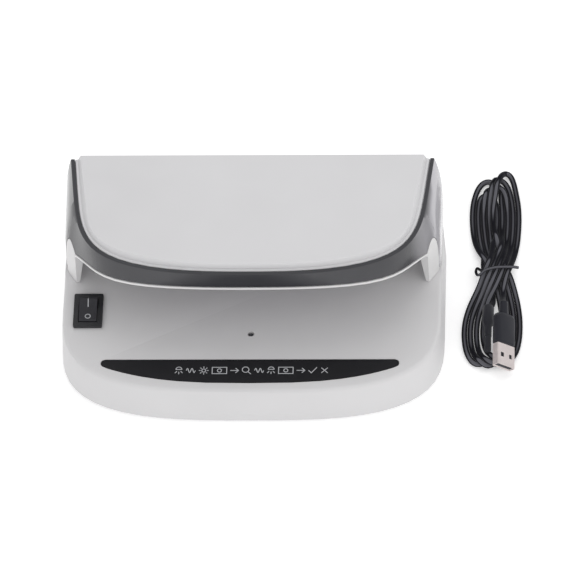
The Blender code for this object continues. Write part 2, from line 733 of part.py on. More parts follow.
def build_hood(housing):
    shell = add_piece(
        "hood_shell", skin([shell_profile(c) for c in ALL_COLUMNS], closed=True), WHITE, housing
    )
    bosses = []
    for x, y in HOOD_SCREWS:
        top = 40.0 if y < 40.0 else 42.0
        bosses.append(turned([(3.0, deck_height(y) + 0.6), (2.8, top)], SCREW_SIDES, (x, y, 0.0)))
    duct_foot = deck_height(LAMP_DUCT[1]) + 0.6
    duct = [(3.6, duct_foot), (3.6, 45.0), (2.4, LEDGE_TOP - 0.2)]
    bosses.append(turned(duct, SCREW_SIDES, (*LAMP_DUCT, 0.0)))
    boolean(shell, joined(*bosses), "UNION")
    holes = [turned([(1.3, 20.0), (1.3, 38.0)], SCREW_SIDES, (x, y, 0.0)) for x, y in HOOD_SCREWS]
    holes.append(turned([(1.5, 20.0), (1.5, 66.0)], SCREW_SIDES, (*LAMP_DUCT, 0.0)))
    boolean(shell, joined(*holes))

    band = skin([band_profile(column) for column in LEFT_COLUMNS + RIGHT_COLUMNS])
    add_piece("hood_band", band, GLOSS_BLACK, housing)


def build_top_cover(housing):
    """The cover lies inside the band on three sides and ends level with the rear wall."""
    edge = BAND_THICKNESS + GAP
    steps = (
        (edge + 4.4, 4.6, COVER_TOP - 2.4),
        (edge + 3.4, 3.6, WALL_TOP + GAP),
        (edge, 0.0, WALL_TOP + GAP),
        (edge, 0.04, COVER_FLANGE - 0.3),
        (edge + 0.3, 0.08, COVER_FLANGE),
        (edge + 1.2, 0.12, COVER_FLANGE),
        (edge + 1.9, 0.2, COVER_TOP - 0.8),
        (edge + 2.2, 0.35, COVER_TOP - 0.25),
        (edge + 2.8, 0.9, COVER_TOP),
    )
    sections = [hood_section(z, inset, rear_inset) for inset, rear_inset, z in steps]
    cover = add_piece("top_cover", skin(sections), WHITE, housing)
    bosses = []
    for x, y in CEILING_SCREWS:
        bosses.append(turned([(2.9, CEILING_TOP + GAP), (3.1, COVER_TOP - 1.2)], SCREW_SIDES, (x, y, 0.0)))
    boolean(cover, joined(*bosses), "UNION")
    holes = [turned([(1.2, 60.0), (1.2, 71.0)], SCREW_SIDES, (x, y, 0.0)) for x, y in CEILING_SCREWS]
    boolean(cover, joined(*holes))


def build_ceiling(housing):
    """The hood's underside, with the lamps above it and their window in it."""
    edge = BAND_RECESS + WALL_THICKNESS + GAP
    sections = [hood_section(z, edge) for z in (CEILING_BOTTOM, CEILING_TOP)]
    ceiling = add_piece("hood_ceiling", skin(sections), WHITE, housing)
    posts = []
    for x, y in LAMP_BOARD_POSTS:
        posts.append(turned([(2.2, CEILING_BOTTOM + 1.0), (2.0, LAMP_BOARD_BOTTOM - GAP)], 12, (x, y, 0.0)))
    boolean(ceiling, joined(*posts), "UNION")
    half = WINDOW_LENGTH / 2
    cutters = [
        block(
            (-half, WINDOW_Y - WINDOW_WIDTH / 2, 58.0),
            (half, WINDOW_Y + WINDOW_WIDTH / 2, 64.0),
            chamfer=1.5,
        ),
        block((LAMP_DUCT[0] - 3.0, LAMP_DUCT[1] - 2.2, 58.0), (LAMP_DUCT[0] + 6.0, LAMP_DUCT[1] + 2.2, 66.0)),
    ]
    for x, y in CEILING_SCREWS:
        counterbore = [(2.8, 60.0), (2.8, 62.5), (1.3, 62.55), (1.3, 65.0)]
        cutters.append(turned(counterbore, SCREW_SIDES, (x, y, 0.0)))
    boolean(ceiling, joined(*cutters))

    inner = half - GAP
    low = (-inner, WINDOW_Y - WINDOW_WIDTH / 2 + GAP, CEILING_BOTTOM - 0.5)
    high = (inner, WINDOW_Y + WINDOW_WIDTH / 2 - GAP, CEILING_TOP)
    add_piece("lamp_window", block(low, high, chamfer=1.4), VIOLET_WINDOW, housing)

    board = block(
        (-62.0, WINDOW_Y - 5.0, LAMP_BOARD_BOTTOM),
        (62.0, WINDOW_Y + 11.5, LAMP_BOARD_BOTTOM + LAMP_BOARD_THICKNESS),
        chamfer=1.0,
    )
    add_piece("lamp_board", board, BOARD_GREEN, housing)
    lamp = block((-2.5, -2.5, -1.6), (2.5, 2.5, -0.3))
    lamp_mesh = mesh_from("uv_lamp", lamp)
    for number in range(LAMP_COUNT):
        piece = add_piece(f"uv_lamp_{number + 1}", None, LAMP_YELLOW, housing, lamp_mesh)
        x = (number - (LAMP_COUNT - 1) / 2) * LAMP_PITCH
        piece.location = Vector((x, WINDOW_Y, LAMP_BOARD_BOTTOM)) * MM


# ---------------------------------------------------------------- deck fittings and electronics
def build_deck_fittings(housing):
    add_piece("name_plate", on_deck(plate_outline(), -0.7, 0.2), NAME_BLACK, housing)
    top = deck_height(SENSOR_Y)
    dome = [(SENSOR_RADIUS, -9.0), (SENSOR_RADIUS, -1.6), (SENSOR_RADIUS * 0.8, -0.9), (0.4, -0.6)]
    add_piece("note_sensor", turned(dome, 20, (0.0, SENSOR_Y, top)), CLEAR_RESIN, housing)

    board = block((-34.0, -34.0, 12.2), (34.0, 8.0, 13.7), chamfer=1.0)
    piece = add_piece("control_board", board, BOARD_GREEN, housing)
    chips = [block((-6.0, -10.0, 13.2), (4.0, -4.0, 15.2)), block((12.0, -28.0, 13.2), (18.0, -22.0, 15.6))]
    chips.append(turned([(4.0, 13.2), (4.0, 17.5)], 16, (-22.0, -14.0, 0.0)))
    boolean(piece, joined(*chips), "UNION")
    holes = [turned([(1.2, 11.0), (1.2, 15.0)], SCREW_SIDES, (x, y, 0.0)) for x, y in BOARD_SCREWS]
    boolean(piece, joined(*holes))

    turn = Matrix.Rotation(math.radians(90), 3, "X")
    jack = add_piece(
        "power_socket",
        block((SOCKET_X - 5.0, BASE_REAR - 15.0, 8.5), (SOCKET_X + 5.0, BASE_REAR - 3.4, 18.5)),
        SWITCH_BLACK,
        housing,
    )
    barrel = moved(turned([(3.8, 0.4), (3.8, 7.0)], 20), (SOCKET_X, BASE_REAR - 1.0, SOCKET_Z), turn)
    boolean(jack, barrel, "UNION")
    bore = moved(turned([(2.75, -3.0), (2.75, 10.0)], 20), (SOCKET_X, BASE_REAR - 1.0, SOCKET_Z), turn)
    boolean(jack, bore)
    add_piece(
        "power_socket_pin",
        moved(turned([(0.6, 0.8), (1.0, 1.2), (1.0, 9.6)], 12), (SOCKET_X, BASE_REAR - 1.0, SOCKET_Z), turn),
        NICKEL,
        housing,
    )


def build_wires(housing):
    """Three insulated leads inside the casing; the lamp's lead climbs a duct in the hood."""
    feed = [(SOCKET_X - 2.0, 43.2, 12.0), (SOCKET_X - 12.0, 38.0, 10.0), (-72.0, 26.0, 7.0)]
    feed += [(-83.0, 8.0, 6.2), (-84.2, -4.9, 5.8)]
    switched = [(-80.6, -12.7, 5.8), (-70.0, -14.0, 5.2), (-52.0, -12.0, 9.0), (-34.9, -8.0, 12.9)]
    duct_x, duct_y = LAMP_DUCT
    lamp = [(34.9, 0.0, 13.0), (60.0, 14.0, 13.0), (84.0, 33.0, 16.0), (duct_x, duct_y, 23.0)]
    lamp += [(duct_x, duct_y, 42.0), (duct_x, duct_y, 56.0), (duct_x - 0.5, duct_y, 60.5)]
    lamp += [(duct_x - 2.6, duct_y - 1.5, 65.0), (80.0, 28.0, 66.0), (76.0, 9.0, 66.8), (62.9, 6.0, 67.1)]
    for name, path, finish in (
        ("supply_wire", feed, WIRE_RED),
        ("switched_wire", switched, WIRE_RED),
        ("lamp_wire", lamp, WIRE_BLACK),
    ):
        add_piece(name, tube(path, 0.7, 8), finish, housing)


# ---------------------------------------------------------------- the rocker switch
def build_switch(deck_frame, rocker, lever):
    """The switch stands in its own frame: z = 0 is the deck's surface and y runs up the slope."""
    low = (-BEZEL_WIDTH / 2, -BEZEL_LENGTH / 2, GAP)
    high = (BEZEL_WIDTH / 2, BEZEL_LENGTH / 2, BEZEL_HEIGHT)
    outer = block(low, high, 0.6)
    housing = add_piece("switch_housing", outer, SWITCH_BLACK, deck_frame)
    boolean(housing, block((-6.6, -9.4, -13.6), (6.6, 9.4, 1.0)), "UNION")
    half = ROCKER_HALF_WIDTH + GAP
    cavity = block((-half, -7.75, -12.4), (half, 7.75, 4.0))
    trunnion_hole = turned([(1.25, -6.2), (1.25, 6.2)], 16)
    sideways = Matrix.Rotation(math.radians(90), 3, "Y")
    slots = [
        block((-2.7, -0.75, -15.0), (2.7, 0.75, -12.0)),
        block((-2.7, -6.95, -15.0), (2.7, -5.45, -12.0)),
    ]
    boolean(housing, cavity)
    boolean(housing, joined(*slots))
    boolean(housing, moved(trunnion_hole, (0.0, 0.0, ROCKER_PIVOT_Z), sideways))

    blade = block((-2.4, -0.4, -20.5), (2.4, 0.4, LEVER_PIVOT_Z - 0.65))
    add_piece("centre_terminal", blade, BRASS, deck_frame)
    blade = block((-2.4, -6.6, -20.5), (2.4, -5.8, -10.6))
    piece = add_piece("front_terminal", blade, BRASS, deck_frame)
    boolean(piece, block((-2.3, -6.3, -11.4), (2.3, -4.0, -10.7)), "UNION")

    build_rocker(rocker)
    strip = moved(
        block((-1.6, -6.2, -0.25), (1.6, 6.2, 0.25)),
        matrix=Matrix.Rotation(math.radians(LEVER_REST_TILT), 3, "X"),
    )
    piece = add_piece("contact_lever", strip, BRASS, lever)
    tip = turned([(0.9, -0.9), (1.1, -0.3), (1.1, 0.0)], 12)
    tilt = Matrix.Rotation(math.radians(LEVER_REST_TILT), 3, "X")
    boolean(piece, moved(moved(tip, (0.0, -4.9, 0.0)), matrix=tilt), "UNION")


def build_rocker(rocker):
    """A rocker with two shallow faces that meet over its pivot, and round ends about that pivot."""
    radius = ROCKER_RADIUS
    right = []
    for degrees in (-24, -8, 10, 26):
        angle = math.radians(degrees)
        right.append((radius * math.cos(angle), radius * math.sin(angle)))
    right.append((radius * math.cos(math.radians(26)) - 0.7, radius * math.sin(math.radians(26)) + 0.35))
    left = [(-y, z) for y, z in reversed(right)]
    outline = right + [(0.0, 2.35)] + left + [(-4.6, -3.0), (-2.2, -3.8), (2.2, -3.8), (4.6, -3.0)]
    tilt = Matrix.Rotation(math.radians(ROCKER_REST_TILT), 3, "X")
    sections = []
    for x in (-ROCKER_HALF_WIDTH, ROCKER_HALF_WIDTH):
        sections.append([tilt @ Vector((x, y, z)) for y, z in outline])
    piece = add_piece("switch_rocker", skin(sections), SWITCH_BLACK, rocker)
    axle = turned([(0.9, -5.9), (1.0, -5.6), (1.0, 5.6), (0.9, 5.9)], 16)
    boolean(piece, moved(axle, matrix=Matrix.Rotation(math.radians(90), 3, "Y")), "UNION")
    socket = moved(turned([(1.3, -9.0), (1.3, -1.9)], 16), matrix=tilt)
    boolean(piece, socket)
    pin = turned([(0.4, -8.0), (0.9, -7.6), (0.9, -2.3)], 16)
    add_piece("switch_plunger", moved(pin, matrix=tilt), BRASS, rocker)


# ---------------------------------------------------------------- the supply cord
def hank_point(angle_degrees, upper, offset, height):
    """A point on one lobe of the hank; offset widens the upper lobe and narrows the lower one."""
    angle = math.radians(angle_degrees)
    radius = HANK_LOBE_RADIUS + (offset if upper else -offset)
    middle = HANK_Y + (HANK_HALF_SPAN if upper else -HANK_HALF_SPAN)
    return (HANK_X + radius * math.cos(angle), middle + radius * math.sin(angle), height)


def cord_path():
    """The cord from the round plug, through the turns of the hank, to the USB plug."""
    low = CORD_RADIUS + 0.1
    high = low + LAYER
    over = high + LAYER
    lean = math.degrees(math.asin(HANK_LOBE_RADIUS / HANK_HALF_SPAN))
    round_x, round_y, round_z = ROUND_PLUG
    path = [(round_x, round_y + 0.3, round_z), (round_x - 0.4, round_y + 8.0, round_z + 1.2)]
    path += [(118.8, 32.0, over), (117.8, HANK_Y, over), (119.2, 57.0, over - 0.9), (122.0, 70.0, high + 0.6)]
    path += [(125.2, 84.0, high - 1.7)]
    steps = 12
    for turn in range(HANK_TURNS + 1):
        first = (turn - HANK_TURNS / 2) * HANK_PITCH
        for k in range(steps + 1):
            share = k / steps
            angle = -lean + share * (180.0 + 2 * lean)
            path.append(hank_point(angle, True, first + 0.5 * HANK_PITCH * share, low))
        if turn == HANK_TURNS:
            break
        path += climb(path[-1], hank_point(lean, False, first + 0.5 * HANK_PITCH, low), low)
        for k in range(steps + 1):
            share = k / steps
            angle = lean - share * (180.0 + 2 * lean)
            path.append(hank_point(angle, False, first + 0.5 * HANK_PITCH * (1 + share), low))
        path += climb(path[-1], hank_point(-lean, True, first + HANK_PITCH, low), high)
    path += [(110.2, 80.0, high), (114.2, 66.0, over + 1.6), (118.4, 54.0, over + LAYER)]
    path += [(122.2, HANK_Y, over + LAYER), (126.0, 31.0, over + LAYER)]
    for back in (USB_RELIEF_END + 7.0, USB_RELIEF_END + GAP):
        path.append(tuple(Vector(USB_PLACE) + usb_attitude() @ Vector((0.0, back, 0.0))))
    return path


def usb_attitude():
    """Turns the USB plug from level, with its tip to the front, to how it lies."""
    return Matrix.Rotation(math.radians(USB_PITCH), 3, "X") @ Matrix.Rotation(math.radians(USB_ROLL), 3, "Y")


def climb(start, end, height):
    """The straight run between two lobes, raised over the strands that cross below it."""
    points = []
    for share in (0.12, 0.24, 0.36, 0.5, 0.64, 0.76, 0.88):
        x = start[0] + share * (end[0] - start[0])
        y = start[1] + share * (end[1] - start[1])
        lift = min(max((0.5 - abs(share - 0.5)) / 0.24 - 0.5, 0.0), 1.0)
        points.append((x, y, start[2] + lift * (height - start[2])))
    return points


def rounded_rectangle(width, depth, radius, steps=3):
    outline = []
    for quarter, (sx, sy) in enumerate(((1, 1), (-1, 1), (-1, -1), (1, -1))):
        for k in range(steps + 1):
            angle = math.radians(90.0 * (quarter + k / steps))
            x = sx * (width / 2 - radius) + radius * math.cos(angle)
            outline.append((x, sy * (depth / 2 - radius) + radius * math.sin(angle)))
    return outline


def build_cable(cable):
    add_piece("usb_cord", tube(cord_path(), CORD_RADIUS, 7), CORD_BLACK, cable)

    backwards = Matrix.Rotation(math.radians(90), 3, "X")
    grip = turned([(2.7, 0.0), (3.0, 0.6), (3.0, 11.0), (2.0, 13.0), (1.9, 20.0)], 14)
    add_piece("round_plug_grip", moved(grip, ROUND_PLUG, backwards), CORD_BLACK, cable)
    barrel = turned([(1.75, 20.3), (1.75, 29.2), (1.5, 29.6)], 14)
    add_piece("round_plug_barrel", moved(barrel, ROUND_PLUG, backwards), NICKEL, cable)

    build_usb_plug(cable)


def build_usb_plug(cable):
    """The plug level, with its sleeve towards the front, and then turned to how it lies."""
    attitude = usb_attitude()
    rings = []
    grip_sizes = (
        (11.4, 5.4, 0.0),
        (12.4, 6.2, 0.8),
        (12.4, 6.2, USB_GRIP_LENGTH - 1.5),
        (10.4, 5.4, USB_GRIP_LENGTH),
    )
    for width, depth, back in grip_sizes:
        outline = rounded_rectangle(width, depth, 2.2)
        rings.append([(x, back, z) for x, z in outline])
    for radius, back in ((2.6, USB_GRIP_LENGTH + 0.4), (2.2, USB_RELIEF_END)):
        outline = rounded_rectangle(2 * radius, 2 * radius, radius - 0.05)
        rings.append([(x, back, z) for x, z in outline])
    add_piece("usb_plug_grip", moved(skin(rings), USB_PLACE, attitude), CORD_BLACK, cable)

    outer = rounded_rectangle(12.0, 4.5, 0.5, 1)
    inner = rounded_rectangle(11.4, 3.9, 0.3, 1)
    rings = [
        [(x, -1.0 - GAP, z) for x, z in inner],
        [(x, -USB_SLEEVE_LENGTH, z) for x, z in inner],
        [(x, -USB_SLEEVE_LENGTH, z) for x, z in outer],
        [(x, -GAP, z) for x, z in outer],
    ]
    sleeve = add_piece("usb_plug_sleeve", moved(skin(rings), USB_PLACE, attitude), NICKEL, cable)
    latch_holes = []
    for x in (-2.9, 2.9):
        hole = block((x - 1.1, -7.6, -3.0), (x + 1.1, -5.2, 3.0))
        latch_holes.append(moved(hole, USB_PLACE, attitude))
    boolean(sleeve, joined(*latch_holes))
    tongue = block((-5.3, 0.6 - USB_SLEEVE_LENGTH, -1.6), (5.3, -1.6, 0.2))
    add_piece("usb_plug_tongue", moved(tongue, USB_PLACE, attitude), CORD_BLACK, cable)


def main():
    clear_scene()
    housing = body_empty("housing")
    slope = math.degrees(math.atan(DECK_SLOPE))
    switch_place = Vector((SWITCH_X, SWITCH_Y, deck_height(SWITCH_Y)))
    up = Matrix.Rotation(math.radians(slope), 3, "X") @ Vector((0.0, 0.0, 1.0))
    deck_frame = body_empty("switch_frame", switch_place, slope)
    rocker = body_empty("rocker_pivot", switch_place + up * ROCKER_PIVOT_Z, slope)
    lever = body_empty("lever_pivot", switch_place + up * LEVER_PIVOT_Z, slope)
    cable = body_empty("cable")
    build_base(housing)
    build_bottom_cover(housing)
    build_hood(housing)
    build_top_cover(housing)
    build_ceiling(housing)
    build_deck_fittings(housing)
    build_screws(housing)
    build_wires(housing)
    build_switch(deck_frame, rocker, lever)
    build_cable(cable)


main()
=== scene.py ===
"""The looks of a counterfeit bill detector: finishes, fine detail, studio and camera.

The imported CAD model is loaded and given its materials. The cord, its tie and the printed marks are
built here as well, in millimetres, in the same frame: X to the right, Y away from the operator, Z up.
"""

import math

import bmesh
import bpy
import numpy as np
from mathutils import Matrix, Vector

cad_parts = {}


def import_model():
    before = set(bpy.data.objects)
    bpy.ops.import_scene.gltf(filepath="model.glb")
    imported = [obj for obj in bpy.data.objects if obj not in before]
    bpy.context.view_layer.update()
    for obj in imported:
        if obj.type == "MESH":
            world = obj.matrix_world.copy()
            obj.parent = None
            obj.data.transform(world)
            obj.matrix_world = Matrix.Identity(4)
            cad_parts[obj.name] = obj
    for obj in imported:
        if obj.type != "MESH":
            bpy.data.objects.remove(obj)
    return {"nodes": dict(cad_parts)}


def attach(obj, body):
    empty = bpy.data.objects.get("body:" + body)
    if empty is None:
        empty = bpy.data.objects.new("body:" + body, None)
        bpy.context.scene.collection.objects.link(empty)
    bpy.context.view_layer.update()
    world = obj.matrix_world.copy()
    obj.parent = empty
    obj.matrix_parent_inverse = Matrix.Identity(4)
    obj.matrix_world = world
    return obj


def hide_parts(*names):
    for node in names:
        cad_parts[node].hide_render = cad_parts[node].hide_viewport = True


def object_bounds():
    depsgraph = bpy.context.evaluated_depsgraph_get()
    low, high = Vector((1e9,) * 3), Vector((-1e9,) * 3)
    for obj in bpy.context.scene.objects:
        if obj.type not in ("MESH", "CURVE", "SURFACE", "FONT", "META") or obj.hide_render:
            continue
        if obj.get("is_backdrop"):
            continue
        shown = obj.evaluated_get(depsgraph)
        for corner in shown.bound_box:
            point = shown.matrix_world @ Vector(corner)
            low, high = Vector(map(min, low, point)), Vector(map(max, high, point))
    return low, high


MM = 0.001

# Camera: a long lens, so that the view is nearly parallel. Angles in degrees, distances in metres.
CAMERA_AZIMUTH = 4.2
CAMERA_ELEVATION = 48.8
CAMERA_ROLL = 3.3
CAMERA_LENS = 389.0
CAMERA_DISTANCE = 3.2
CAMERA_CLIP_END = 20.0
CAMERA_AIM = Vector((18.2, 7.0, 27.0)) * MM

# Studio: white surroundings and three softboxes, aimed at the hood.
WORLD_STRENGTH = 0.74
STUDIO_MIDDLE = Vector((0.0, 0.0, 40.0)) * MM
SOFTBOXES = (  # name, azimuth, elevation, distance, size, watts
    ("rear_softbox", 180.0, 62.0, 1.6, 1.2, 5.0),
    ("right_fill", 60.0, 30.0, 1.8, 1.4, 4.5),
    ("front_fill", -15.0, 22.0, 1.8, 1.4, 3.0),
)
FLOOR_REACH = 6.0

# The hank of cord, in millimetres. Each turn runs up the left of an upper lobe, over its apex, down
# the right, crosses the waist and goes round a lower lobe. The handles shape the curves between.
CORD_RADIUS = 1.5
CORD_SIDES = 12
WAIST = Vector((125.0, 36.9, 0.0))
WAIST_HALF_WIDTH = 5.6
UPPER_LOBES = (  # reach to the left, to the right, the apex, and the height of the widest place
    (115.0, 125.2, (118.6, 97.4), 79.0),
    (112.2, 128.4, (119.7, 107.0), 81.0),
    (117.6, 130.4, (123.6, 101.9), 80.0),
    (119.6, 132.6, (126.6, 107.6), 81.0),
    (122.6, 135.0, (130.2, 112.7), 77.0),
)
LOWER_LOBES = (
    (108.0, 128.4, (115.6, -26.1), -0.5),
    (111.1, 131.6, (118.8, -27.5), -0.5),
    (114.3, 134.6, (122.4, -27.7), -0.5),
    (117.6, 137.3, (128.0, -26.1), -1.5),
)
LEAN_LEFT = Vector((-5.0, 16.0, 0.0))  # handle of a strand that rises from the waist to the left
LEAN_RIGHT = Vector((5.0, 16.0, 0.0))
SIDE_HANDLE = 0.6  # handles of a lobe, as shares of its reach past its widest place
SHOULDER_HANDLE = 0.62
APEX_HANDLE = 0.58
SIDE_STEPS = 12
APEX_STEPS = 10
LEAD_STEPS = 14
LEAD_HANDLE = Vector((0.0, 12.0, 0.0))
USB_LEAD = Vector((129.0, 2.7, 16.3))  # inside the USB plug's strain relief
USB_LEAD_RISE = Vector((0.0, 0.951, 0.309))
ROUND_LEAD = Vector((120.8, 8.0, 6.9))  # inside the round plug's grip
CORD_STEP = 0.7  # spacing of the cord's points, in cord diameters
CORD_NEIGHBOURS = 3  # points this near along the cord don't push each other
CORD_LAYERS = 1.5  # height of the pile before it settles, in cord diameters
CROSSING_LIFT = 2.2  # how far falling strands start above rising ones, in cord diameters
CROSSING_REACH = 26.0

# Settling of the cord: what happens to it in each round.
SETTLING_ROUNDS = 160
SINK = 0.12  # how far it falls in the first round, and less in each round after
STIFFNESS = 0.3  # share of the way to the middle of its neighbours
HOLD = 0.02  # share of the way back to its place in plan
CLIMB = 0.35  # how strongly a strand that started higher is pushed up rather than aside
PUSH = 1.5  # more than 1, so that strands part within the rounds there are
PINNED = 2  # points held in each plug

# The twist tie, in millimetres.
TIE_RADIUS = 0.75
TIE_SIDES = 8
TIE_STEP = 0.8
TIE_SMOOTHING = 6
TIE_BUNDLE = 4.0  # the strands this near the waist are the ones it goes round
TIE_LIFT = 1.5  # the tie passes under the hank and lifts it off the table
TIE_LIFT_REACH = 9.0

# Printed marks, in millimetres.
INK_HEIGHT = 0.04
INK_WIDTH = 0.42
ABOVE_ALL = 120.0  # height the marks are dropped from
SWITCH_MARK_X = -84.0
SWITCH_BAR_Y = (-7.2, -3.0)
SWITCH_BAR_WIDTH = 0.45
SWITCH_RING_Y = -12.6
SWITCH_RING_RADIUS = 1.3
ROW_MIDDLE = (1.2, -45.4)
ROW_LENGTH = 79.5

SHARP_ANGLE = 32.0  # edges bent by more than this stay sharp, or get a rounding
ROUND_ANGLE = 60.0  # the same for tubes and ink, which are smooth but for their ends
FLAT_ANGLE = 0.3  # facets that bend by less than this are one flat face
WELD_DISTANCE = 0.002


# ---------------------------------------------------------------- materials


class Finish:
    """A material under construction: short calls that add nodes and wire them."""

    def __init__(self, name, colour, roughness, metallic=0.0):
        self.material = bpy.data.materials.new(name)
        self.material.use_nodes = True
        self.material.diffuse_color = (*colour, 1.0)
        self.tree = self.material.node_tree
        self.surface = self.tree.nodes["Principled BSDF"]
        self.colour = colour
        self.roughness = roughness
        self.set("Base Color", (*colour, 1.0))
        self.set("Roughness", roughness)
        self.set("Metallic", metallic)
        self.place = self.node("ShaderNodeTexCoord").outputs["Object"]
        self.normal = None

    def node(self, kind, **settings):
        made = self.tree.nodes.new(kind)
        for name, value in settings.items():
            setattr(made, name, value)
        return made

    def wire(self, source, node, socket):
        self.tree.links.new(source, node.inputs[socket])

    def set(self, socket, value):
        self.surface.inputs[socket].default_value = value

    def stretched(self, factors):
        """Object coordinates scaled along each axis, for grain that runs one way."""
        mapping = self.node("ShaderNodeMapping")
        mapping.inputs["Scale"].default_value = factors
        self.wire(self.place, mapping, "Vector")
        return mapping.outputs["Vector"]

    def noise(self, size_mm, detail=3.0, vector=None):
        """Noise whose features measure about size_mm."""
        made = self.node("ShaderNodeTexNoise")
        made.inputs["Scale"].default_value = 1.0 / (size_mm * MM)
        made.inputs["Detail"].default_value = detail
        self.wire(vector or self.place, made, "Vector")
        return made.outputs["Fac"]

    def remap(self, value, low, high, from_low=0.3, from_high=0.7):
        """Stretches from_low..from_high, which noise mostly spans, to low..high."""
        made = self.node("ShaderNodeMapRange")
        made.inputs["From Min"].default_value = from_low
        made.inputs["From Max"].default_value = from_high
        made.inputs["To Min"].default_value = low
        made.inputs["To Max"].default_value = high
        self.wire(value, made, "Value")
        return made.outputs["Result"]

    def vary_colour(self, value, dark, light):
        """Multiplies the base colour by dark to light as value runs over the noise's range."""
        ramp = self.node("ShaderNodeMix", data_type="RGBA")
        ramp.inputs["A"].default_value = (*[c * dark for c in self.colour], 1.0)
        ramp.inputs["B"].default_value = (*[min(1.0, c * light) for c in self.colour], 1.0)
        self.wire(self.remap(value, 0.0, 1.0), ramp, "Factor")
        self.wire(ramp.outputs["Result"], self.surface, "Base Color")
        return ramp.outputs["Result"]

    def vary_roughness(self, value, spread):
        """Lets the roughness run from spread below its own value to spread above it."""
        low = self.roughness - spread
        self.wire(self.remap(value, low, self.roughness + spread), self.surface, "Roughness")

    def paint_light_by_facing(self, colour, start, end, across=None):
        """Painted light: mixes in a colour as the surface turns from start to end; 0 is seen face on and 1
        edge on.

        With across, a pair of X in mm, the colour also fades in from the first to the second.
        """
        facing = self.node("ShaderNodeLayerWeight").outputs["Facing"]
        share = self.remap(facing, 0.0, 1.0, start, end)
        if across is not None:
            split = self.node("ShaderNodeSeparateXYZ")
            self.wire(self.place, split, "Vector")
            product = self.node("ShaderNodeMath", operation="MULTIPLY")
            self.wire(share, product, 0)
            left, right = across
            self.wire(self.remap(split.outputs["X"], 0.0, 1.0, left * MM, right * MM), product, 1)
            share = product.outputs["Value"]
        mix = self.node("ShaderNodeMix", data_type="RGBA")
        self.wire(share, mix, "Factor")
        self.wire(self.surface.inputs["Base Color"].links[0].from_socket, mix, "A")
        mix.inputs["B"].default_value = (*colour, 1.0)
        self.wire(mix.outputs["Result"], self.surface, "Base Color")

    def bump(self, value, height_mm):
        """Raises the surface by up to height_mm where the value is high, on top of earlier bumps."""
        made = self.node("ShaderNodeBump")
        made.inputs["Distance"].default_value = height_mm * MM
        made.inputs["Strength"].default_value = 1.0
        self.wire(value, made, "Height")
        if self.normal is not None:
            self.wire(self.normal, made, "Normal")
        self.normal = made.outputs["Normal"]
        self.wire(self.normal, self.surface, "Normal")


def moulded_plastic(name, colour, roughness, grain_mm, grain_height):
    """Spark-eroded moulded plastic: a fine grain, faint flow clouding and slightly uneven sheen."""
    finish = Finish(name, colour, roughness)
    finish.vary_colour(finish.noise(38.0, 2.0), 0.985, 1.015)
    finish.vary_roughness(finish.noise(9.0, 4.0), 0.035)
    finish.bump(finish.noise(grain_mm, 2.0), grain_height)
    return finish


def casing_white(name, colour):
    finish = moulded_plastic(name, colour, 0.44, 0.45, 0.012)
    finish.set("Specular IOR Level", 0.45)
    return finish.material


def band_black():
    """Polished moulding with a faint orange-peel swell, and a painted reflection: pale grey painted where
    its right end turns away from the eye.
    """
    finish = Finish("band_gloss_black_abs_painted_reflection", (0.036, 0.036, 0.0415), 0.12)
    finish.vary_colour(finish.noise(30.0), 0.9, 1.1)
    # painted reflection: pale grey mixed in where the band turns edge on, towards its right end
    finish.paint_light_by_facing((0.38, 0.37, 0.40), 0.42, 0.70, (82.0, 92.0))
    finish.vary_roughness(finish.noise(4.0, 5.0), 0.025)
    finish.bump(finish.noise(5.0, 1.0), 0.004)
    return finish.material


def name_plate_black():
    finish = Finish("name_plate_satin_film", (0.0098, 0.0098, 0.0118), 0.34)
    finish.set("Specular IOR Level", 0.28)
    finish.vary_colour(finish.noise(25.0), 0.92, 1.08)
    finish.vary_roughness(finish.noise(1.5, 4.0), 0.03)
    finish.bump(finish.noise(0.25, 2.0), 0.004)
    return finish.material


def print_grey():
    finish = Finish("pad_printed_grey_ink", (0.50, 0.51, 0.53), 0.5)
    finish.vary_colour(finish.noise(0.5, 4.0), 0.93, 1.05)
    finish.bump(finish.noise(0.2), 0.002)
    return finish.material


def switch_black():
    finish = moulded_plastic("switch_nylon", (0.017, 0.0175, 0.02), 0.36, 0.3, 0.008)
    return finish.material


def rocker_black():
    finish = moulded_plastic("rocker_nylon", (0.027, 0.027, 0.032), 0.42, 0.3, 0.01)
    finish.set("Specular IOR Level", 0.35)
    return finish.material


def lamp_window_violet():
    finish = Finish("lamp_window_violet", (0.07, 0.035, 0.16), 0.14)
    finish.vary_colour(finish.noise(12.0), 0.9, 1.1)
    finish.vary_roughness(finish.noise(3.0), 0.03)
    finish.set("Coat Weight", 0.6)
    return finish.material


def lamp_package():
    finish = Finish("lamp_package", (0.78, 0.70, 0.42), 0.32)
    finish.vary_colour(finish.noise(1.2), 0.92, 1.05)
    finish.bump(finish.noise(0.4), 0.006)
    return finish.material


def solder_mask():
    """Green lacquer over copper tracks that show as slightly lighter lines."""
    finish = Finish("board_solder_mask", (0.016, 0.105, 0.04), 0.28)
    tracks = finish.node("ShaderNodeTexBrick")
    tracks.inputs["Scale"].default_value = 110.0
    tracks.inputs["Mortar Size"].default_value = 0.03
    tracks.inputs["Color1"].default_value = (0.4, 0.4, 0.4, 1.0)
    tracks.inputs["Color2"].default_value = (0.5, 0.5, 0.5, 1.0)
    tracks.inputs["Mortar"].default_value = (0.9, 0.9, 0.9, 1.0)
    finish.wire(finish.place, tracks, "Vector")
    finish.vary_colour(tracks.outputs["Color"], 0.85, 1.5)
    finish.bump(tracks.outputs["Color"], 0.02)
    return finish.material


def sensor_resin():
    """Dark daylight-blocking resin of a phototransistor."""
    finish = Finish("sensor_dark_resin", (0.022, 0.024, 0.030), 0.16)
    finish.vary_colour(finish.noise(0.6), 0.8, 1.2)
    finish.set("Coat Weight", 1.0)
    return finish.material


